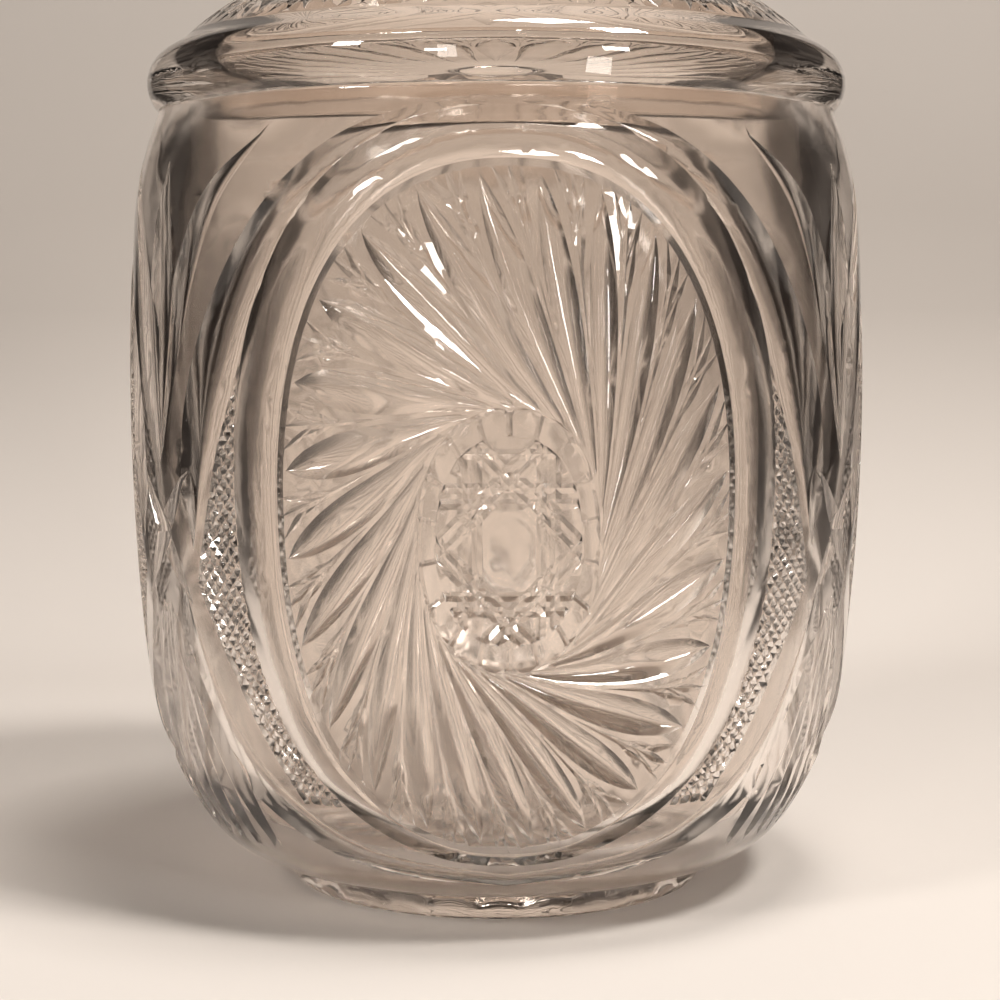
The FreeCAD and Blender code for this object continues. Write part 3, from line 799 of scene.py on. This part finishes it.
def disc(radius, height, columns, start=START, shape=None):
    """A flat disc that closes a ring of columns."""
    points, _ = revolved([(radius, height)], columns, start, shape)
    points.append((0, 0, height))
    centre = len(points) - 1
    return points, [(number, (number + 1) % columns, centre) for number in range(columns)]


def base_star(radius, height, columns):
    """The star pressed under the base: a fan of points that starts on the ring of columns."""
    shares = (1.0, 0.97, 0.75, 0.5, 0.25, 0.08)
    points = []
    for row, share in enumerate(shares):
        for number in range(columns):
            turn = 2 * math.pi * number / columns + START
            valley = abs((number % BASE_STAR_PERIOD) / (BASE_STAR_PERIOD / 2) - 1)
            lift = BASE_STAR_DEPTH * (1 - valley) if row else 0
            reach = radius * share
            points.append((reach * math.cos(turn), reach * math.sin(turn), height + lift))
    faces = ring_quads(len(shares), columns)
    last = (len(shares) - 1) * columns
    points.append((0, 0, height))
    faces += [(last + n, last + (n + 1) % columns, len(points) - 1) for n in range(columns)]
    return points, faces


def add_node(nodes, kind, settings=None, links=None):
    """Add a shader node, set its sockets and properties, and link its inputs by name or number."""
    node = nodes.new(kind)
    for name, value in (settings or {}).items():
        if name in node.inputs:
            node.inputs[name].default_value = value
        else:
            setattr(node, name, value)
    for name, source in (links or {}).items():
        node.id_data.links.new(source, node.inputs[name])
    return node


def faded(nodes, value, low, high):
    """How far a value lies from low to high, from 0 to 1."""
    node = add_node(nodes, "ShaderNodeMapRange", {"From Min": low, "From Max": high}, {"Value": value})
    return node.outputs["Result"]


def mixed_colour(nodes, share, first, second):
    """Mix two colours, each a value or the output of a node."""
    mix = nodes.new("ShaderNodeMix")
    mix.data_type = "RGBA"
    sockets = {socket.name: socket for socket in mix.inputs if socket.enabled}
    nodes.id_data.links.new(share, sockets["Factor"])
    for name, colour in (("A", first), ("B", second)):
        if isinstance(colour, bpy.types.NodeSocket):
            nodes.id_data.links.new(colour, sockets[name])
        else:
            sockets[name].default_value = (*colour, 1.0)
    return next(socket for socket in mix.outputs if socket.enabled)


def fire_polished_glass(finish, name):
    """Soda-lime glass, pressed in an iron mould and fire-polished.

    Clear and glossy, with a faint slow ripple that bends what is seen through it. The inside is rougher,
    which blurs the far wall so that the near wall's cuts read by themselves.
    """
    material = bpy.data.materials.new(name)
    material.use_nodes = True
    nodes = material.node_tree.nodes
    nodes.clear()
    place = add_node(nodes, "ShaderNodeTexCoord")
    ripple = add_node(
        nodes, "ShaderNodeTexNoise", {"Scale": 1 / RIPPLE_LENGTH, "Detail": 2.0, "Roughness": 0.45},
        {"Vector": place.outputs["Object"]},
    )
    bump = add_node(
        nodes, "ShaderNodeBump", {"Strength": RIPPLE_STRENGTH, "Distance": RIPPLE_HEIGHT},
        {"Height": ripple.outputs["Fac"]},
    )
    skin = add_node(nodes, "ShaderNodeAttribute", {"attribute_name": PLUNGER_SKIN})
    rough = add_node(
        nodes, "ShaderNodeMapRange", {"To Min": finish.roughness, "To Max": finish.inside_roughness},
        {"Value": skin.outputs["Fac"]},
    )
    shader = add_node(
        nodes,
        "ShaderNodeBsdfPrincipled",
        {"Base Color": (*finish.tint, 1.0), "IOR": finish.refraction, "Transmission Weight": 1.0},
        {"Normal": bump.outputs["Normal"], "Roughness": rough.outputs["Result"]},
    )
    add_node(nodes, "ShaderNodeOutputMaterial", {}, {"Surface": shader.outputs["BSDF"]})
    return material


class JAR_OT_body(bpy.types.Operator):
    """Make the jar's body with its pressed medallions"""

    bl_idname = "biscuit_jar.body"
    bl_label = "Make the jar body"

    def execute(self, context):
        sizes = context.scene.jar_relief
        plain, floor, hollow = jar_plain_parts()
        columns = COLUMNS * SECTORS
        parts = jar_sheet(sizes) + plain + [disc(*floor, columns), base_star(*hollow, columns)]
        piece = glass_mesh("jar_glass", parts)
        mark_inside(piece.data)
        piece.data.materials.append(fire_polished_glass(context.scene.jar_finish, "fire_polished_jar_glass"))
        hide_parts("jar_body")
        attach(piece, "jar")
        return {"FINISHED"}


# Lid outline: radius and height in millimetres, seated on the rim
SEAT_GAP = 0.2
SEAT = JAR_TOP + SEAT_GAP
PLUG_OUTER = 61.9
PLUG_INNER = 57.9
BEAD = ((69.8, SEAT), (72.0, SEAT + 5.6), (67.4, SEAT + 12.4))
DOME_FOOT = (65.2, SEAT + 13.8)
DOME_TOP = (9.0, DOME_FOOT[1] + 22.0)
DOME_SLOPE = math.radians(42)
DOME_THICKNESS = 5.5
DOME = arc_chain([DOME_FOOT, DOME_TOP], (-math.cos(DOME_SLOPE), math.sin(DOME_SLOPE)))[0]
KNOB = ((9.0, 4.5), (17.5, 11.5), (17.5, 15.5), (8.5, 21.5))
KNOB_SIDES = 8
LID_START = math.radians(-151.5)
LID_SECTORS = 6
LID_CELLS = 24
LID_SCALE = 45.0
LID_PATTERN = (13.0, 64.6)
# Along a cut of the dome: radius in mm, and share of the spacing that the cut takes
LID_LEAF = ((19.0, 0.1), (27.0, 0.45), (38.0, 0.82), (48.0, 0.9), (55.0, 0.7), (60.5, 0.3), (63.0, 0.02))
LID_STEEPNESS = 0.6
# The splits between the cuts: lean and the radius where each starts, then share of the way and half width
LID_SPLITS = ((-0.34, 55.0), (0.0, 50.0), (0.34, 55.0))
LID_SPLIT = ((0.0, 0.1), (0.5, 0.7), (0.85, 0.85), (1.0, 0.2))
LID_SPLIT_END = 63.8


def dome_at(radius, inset=0.0):
    """Height and outward normal of the lid's dome at an array of radii."""
    centre, arc_radius = DOME[0], DOME[1]
    reach = radius - centre[0]
    rise = np.sqrt((arc_radius - inset) ** 2 - reach ** 2)
    return centre[1] + rise, reach / arc_radius, rise / arc_radius


def circle_through(a, b, c, count):
    """Points along the arc from a through b to c."""
    start, middle, end = (complex(*p) for p in (a, b, c))
    w = (end - start) / (middle - start)
    centre = start + (middle - start) * (w - abs(w) ** 2) / (2j * w.imag)
    first = math.atan2((start - centre).imag, (start - centre).real)
    last = math.atan2((end - centre).imag, (end - centre).real)
    reach = abs(start - centre)
    turns = [first + (last - first) * i / count for i in range(count + 1)]
    return [(centre.real + reach * math.cos(turn), centre.imag + reach * math.sin(turn)) for turn in turns]


def lid_grooves(sizes):
    """Leaf cuts that fan out over the dome, with fine splits between their tips."""
    fine = in_mm(sizes.split_depth)
    cell = 2 * math.pi / LID_CELLS * LID_SCALE
    grooves = []
    steepness = sizes.blade_steepness * LID_STEEPNESS
    for number in range(-4, 5):
        middle = number * cell
        stations = []
        for radius, share in LID_LEAF:
            half = cell / 2 * share
            stations.append((middle, radius, half, half * radius / LID_SCALE * steepness))
        grooves.append(Groove(stations, rounded=True))
        for lean, base in LID_SPLITS:
            ends = []
            for share, width in LID_SPLIT:
                run = (LID_SPLIT_END - base) * share
                ends.append((middle + cell / 2 + lean * run, base + run, width, fine * width))
            grooves.append(Groove(ends))
    return grooves


def lid_sheet(sizes):
    """The lid's patterned dome."""
    grooves = lid_grooves(sizes)
    lines = []
    for groove in grooves:
        lines += groove.lines(MESH_STEP)
    half_width = math.pi / LID_SECTORS * LID_SCALE
    columns = COLUMNS * SECTORS // LID_SECTORS
    places, faces = sheet_triangles(lines, half_width, *LID_PATTERN, columns)
    depth = deepest(grooves, places)
    depth *= np.clip((LID_PATTERN[1] - places[:, 1]) / 0.6, 0, 1)
    height, normal_r, normal_z = dome_at(places[:, 1])
    radius = places[:, 1] - depth * normal_r
    height = height - depth * normal_z
    parts = []
    for sector in range(LID_SECTORS):
        turn = places[:, 0] / LID_SCALE + 2 * math.pi * (sector + 0.5) / LID_SECTORS + LID_START
        parts.append(wrapped(radius, height, turn, faces))
    return parts


def octagon(turn):
    """How far out an eight-sided outline reaches in a direction, as a multiple of its flats' distance."""
    side = 2 * math.pi / KNOB_SIDES
    off = (turn + side / 2) % side - side / 2
    return 1 / math.cos(off)


def lid_plain_parts():
    """Bead, plug ring, underside and knob of the lid."""
    columns = COLUMNS * SECTORS
    inner_height = dome_at(np.array([PLUG_INNER]), DOME_THICKNESS)[0][0]
    under = [(LID_PATTERN[1], dome_at(np.array([LID_PATTERN[1]]))[0][0]), DOME_FOOT]
    under += circle_through(*BEAD, 18)[::-1]
    under += [(PLUG_OUTER + 0.5, SEAT), (PLUG_OUTER, SEAT - 0.5)]
    middle = (PLUG_OUTER + PLUG_INNER) / 2
    half = (PLUG_OUTER - PLUG_INNER) / 2
    for number in range(9):
        turn = math.pi * number / 8
        under.append((middle + half * math.cos(turn), LID_LOW + half * 0.5 * (1 - math.sin(turn))))
    under.append((PLUG_INNER, inner_height - 2.0))
    for radius in np.linspace(PLUG_INNER - 1.5, DOME[0][0], 16):
        under.append((radius, dome_at(np.array([radius]), DOME_THICKNESS)[0][0]))
    neck_radius = KNOB[0][0]
    top = [(LID_PATTERN[0], dome_at(np.array([LID_PATTERN[0]]))[0][0])]
    fillet = LID_PATTERN[0] - neck_radius
    for sine, cosine in quarter(5):
        top.append((LID_PATTERN[0] - fillet * sine, top[0][1] + fillet * 0.8 * (1 - cosine)))
    last = top[-1]
    knob = [(radius, DOME_TOP[1] + rise) for radius, rise in KNOB]
    knob[-1] = (knob[-1][0], LID_TOP)
    parts = [
        revolved(under, columns, LID_START),
        disc(*under[-1], columns, LID_START),
        revolved(top, columns, LID_START),
    ]
    neck_points, _ = revolved([last], columns, LID_START)
    knob_points, knob_faces = revolved(knob, columns, LID_START, octagon)
    joined = neck_points + knob_points
    faces = [(n, (n + 1) % columns, columns + (n + 1) % columns, columns + n) for n in range(columns)]
    faces += [tuple(columns + i for i in face) for face in knob_faces]
    parts.append((joined, faces))
    parts.append(disc(*knob[-1], columns, LID_START, octagon))
    return parts


class JAR_OT_lid(bpy.types.Operator):
    """Make the lid with its plug ring, dome and faceted knob"""

    bl_idname = "biscuit_jar.lid"
    bl_label = "Make the lid"

    def execute(self, context):
        sizes = context.scene.jar_relief
        piece = glass_mesh("lid_glass", lid_sheet(sizes) + lid_plain_parts())
        piece.data.materials.append(fire_polished_glass(context.scene.jar_finish, "fire_polished_lid_glass"))
        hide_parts("lid")
        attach(piece, "lid")
        return {"FINISHED"}


# The sweep in metres: half width, front edge, start and size of the bend, and top
SWEEP_HALF = 0.9
SWEEP_FRONT = -0.8
SWEEP_BEND = 0.24
SWEEP_ROUND = 0.16
SWEEP_TOP = 1.2
# Each lamp's name, place and size in metres, and power in watts
LAMPS = (
    ("key", (0.50, -0.40, 1.0), 0.20, 8.0),
    ("top", (0.15, -0.12, 1.1), 0.25, 5.0),
    ("left", (-0.7, -0.6, 0.55), 0.16, 3.0),
    ("right", (0.55, -0.8, 0.30), 0.14, 2.0),
    ("low", (-0.30, -0.85, 0.20), 0.10, 0.8),
)
LAMP_AIM = Vector((0, 0, 0.08))
# The camera in metres, degrees and millimetres of lens
CAMERA_DISTANCE = 0.4468
CAMERA_HEIGHT = 0.1172
CAMERA_TURN = math.radians(1.75)
CAMERA_YAW = math.radians(0.1)
CAMERA_TILT = math.radians(4.97)
CAMERA_SENSOR = 36
CAMERA_LENS = 76


class JAR_OT_stage(bpy.types.Operator):
    """Lay the pale floor and backdrop, and set the lamps and the camera"""

    bl_idname = "biscuit_jar.stage"
    bl_label = "Set the stage"

    def execute(self, context):
        colours = context.scene.jar_stage
        self.sweep(colours)
        self.lamps(context, colours)
        self.camera(context)
        context.scene.view_settings.view_transform = "Standard"
        context.scene.cycles.transmission_bounces = 16
        context.scene.cycles.max_bounces = 20
        context.scene.cycles.glossy_bounces = 8
        return {"FINISHED"}

    def sweep(self, colours):
        """A floor that curves up into the backdrop."""
        rows = [(SWEEP_FRONT, 0.0), (0.0, 0.0), (SWEEP_BEND, 0.0)]
        for sine, cosine in quarter(8)[1:]:
            rows.append((SWEEP_BEND + SWEEP_ROUND * sine, SWEEP_ROUND * (1 - cosine)))
        rows.append((SWEEP_BEND + SWEEP_ROUND, SWEEP_TOP))
        points = []
        for y, z in rows:
            points += [(-SWEEP_HALF, y, z), (SWEEP_HALF, y, z)]
        faces = [(2 * row, 2 * row + 1, 2 * row + 3, 2 * row + 2) for row in range(len(rows) - 1)]
        mesh = bpy.data.meshes.new("sweep")
        mesh.from_pydata(points, [], faces)
        mesh.shade_smooth()
        floor = bpy.data.objects.new("sweep", mesh)
        bpy.context.collection.objects.link(floor)
        mesh.materials.append(self.cotton(colours))

    def cotton(self, colours):
        """Matt bleached cotton, woven and unpressed.

        The eye sees it pale all round, darkening with painted shade as it rises into the backdrop. The glass
        finds it pale only near the jar and painted shade of a dark room beyond, which draws the dark edges of
        its cuts. Its back is clear, so that the jar shows from behind too.
        """
        material = bpy.data.materials.new("matt_cotton_backdrop")
        material.use_nodes = True
        nodes = material.node_tree.nodes
        nodes.clear()
        place = add_node(nodes, "ShaderNodeTexCoord")
        split = add_node(nodes, "ShaderNodeSeparateXYZ", {}, {"Vector": place.outputs["Object"]})
        # Painted shade: the cloth darkens from the floor's colour to the wall's as it rises
        rise = faded(nodes, split.outputs["Z"], *WALL_SHADE_RISE)
        shade = add_node(nodes, "ShaderNodeValToRGB", {}, {"Fac": rise})
        shade.color_ramp.elements[0].color = (*colours.cloth, 1.0)
        shade.color_ramp.elements[1].color = (*colours.shaded_wall, 1.0)
        aside = add_node(nodes, "ShaderNodeMath", {"operation": "ABSOLUTE"}, {0: split.outputs["X"]})
        beside = faded(nodes, aside.outputs["Value"], *LIT_ASIDE)
        before = faded(nodes, split.outputs["Y"], *LIT_BEFORE)
        away = add_node(nodes, "ShaderNodeMath", {"operation": "MAXIMUM"}, {0: beside, 1: before})
        # Painted shade of the dark room: beyond the lit patch the cloth takes the room's colour for every ray
        # but the camera's
        path = add_node(nodes, "ShaderNodeLightPath")
        room_shade_mask = add_node(
            nodes, "ShaderNodeMath", {"operation": "SUBTRACT", "use_clamp": True},
            {0: away.outputs["Value"], 1: path.outputs["Is Camera Ray"]},
        )
        colour = mixed_colour(nodes, room_shade_mask.outputs["Value"], shade.outputs["Color"], linear(ROOM_SHADE))
        shader = add_node(nodes, "ShaderNodeBsdfPrincipled", {"Roughness": 0.9}, {"Base Color": colour})
        clear = add_node(nodes, "ShaderNodeBsdfTransparent")
        side = add_node(nodes, "ShaderNodeNewGeometry")
        both = add_node(
            nodes, "ShaderNodeMixShader", {},
            {0: side.outputs["Backfacing"], 1: shader.outputs["BSDF"], 2: clear.outputs["BSDF"]},
        )
        add_node(nodes, "ShaderNodeOutputMaterial", {}, {"Surface": both.outputs["Shader"]})
        return material

    def lamps(self, context, colours):
        """Soft lamps, and a world that is pale to the eye and the shade of a dark room to the glass."""
        world = bpy.data.worlds.new("room")
        world.use_nodes = True
        sky = world.node_tree.nodes["Background"]
        # The world shows the cloth's pale colour to the camera and the room's dark shade to every other ray
        path = add_node(world.node_tree.nodes, "ShaderNodeLightPath")
        sky_with_room_shade = mixed_colour(world.node_tree.nodes, path.outputs["Is Camera Ray"], linear(ROOM_SHADE), colours.cloth)
        world.node_tree.links.new(sky_with_room_shade, sky.inputs["Color"])
        context.scene.world = world
        for name, place, size, power in LAMPS:
            light = bpy.data.lights.new(name, "AREA")
            light.size = size
            light.energy = power
            light.color = colours.lamp
            lamp = bpy.data.objects.new(name, light)
            lamp.location = place
            lamp.rotation_euler = (LAMP_AIM - Vector(place)).to_track_quat("-Z", "Y").to_euler()
            bpy.context.collection.objects.link(lamp)

    def camera(self, context):
        """The photograph's view: close, a little above the jar's middle and tilted down."""
        lens = bpy.data.cameras.new("view")
        lens.sensor_width = CAMERA_SENSOR
        lens.lens = CAMERA_LENS
        eye = bpy.data.objects.new("view", lens)
        aside, before = -math.sin(CAMERA_TURN), -math.cos(CAMERA_TURN)
        eye.location = (aside * CAMERA_DISTANCE, before * CAMERA_DISTANCE, CAMERA_HEIGHT)
        eye.rotation_euler = (math.pi / 2 - CAMERA_TILT, 0, -CAMERA_TURN - CAMERA_YAW)
        bpy.context.collection.objects.link(eye)
        context.scene.camera = eye


class JAR_PT_panel(bpy.types.Panel):
    """Lists the jar's operators"""

    bl_label = "Biscuit jar"
    bl_idname = "JAR_PT_panel"
    bl_space_type = "VIEW_3D"
    bl_region_type = "UI"
    bl_category = "Biscuit jar"

    def draw(self, context):
        for group in (context.scene.jar_relief, context.scene.jar_finish, context.scene.jar_stage):
            for name in group.__annotations__:
                self.layout.prop(group, name)
        for name in ("body", "lid", "stage"):
            self.layout.operator("biscuit_jar." + name)


CLASSES = (
    JarReliefSizes, GlassFinish, StageColours, JAR_OT_body, JAR_OT_lid, JAR_OT_stage, JAR_PT_panel,
)


def register():
    """Register the add-on's classes and its settings on the scene."""
    for item in CLASSES:
        bpy.utils.register_class(item)
    bpy.types.Scene.jar_relief = bpy.props.PointerProperty(type=JarReliefSizes)
    bpy.types.Scene.jar_finish = bpy.props.PointerProperty(type=GlassFinish)
    bpy.types.Scene.jar_stage = bpy.props.PointerProperty(type=StageColours)


def unregister():
    """Take the settings and the classes away again."""
    del bpy.types.Scene.jar_relief
    del bpy.types.Scene.jar_finish
    del bpy.types.Scene.jar_stage
    for item in reversed(CLASSES):
        bpy.utils.unregister_class(item)


def main():
    """Build the pieces and the stage."""
    register()
    bpy.ops.biscuit_jar.body()
    bpy.ops.biscuit_jar.lid()
    bpy.ops.biscuit_jar.stage()


if __name__ == "__main__":
    main()
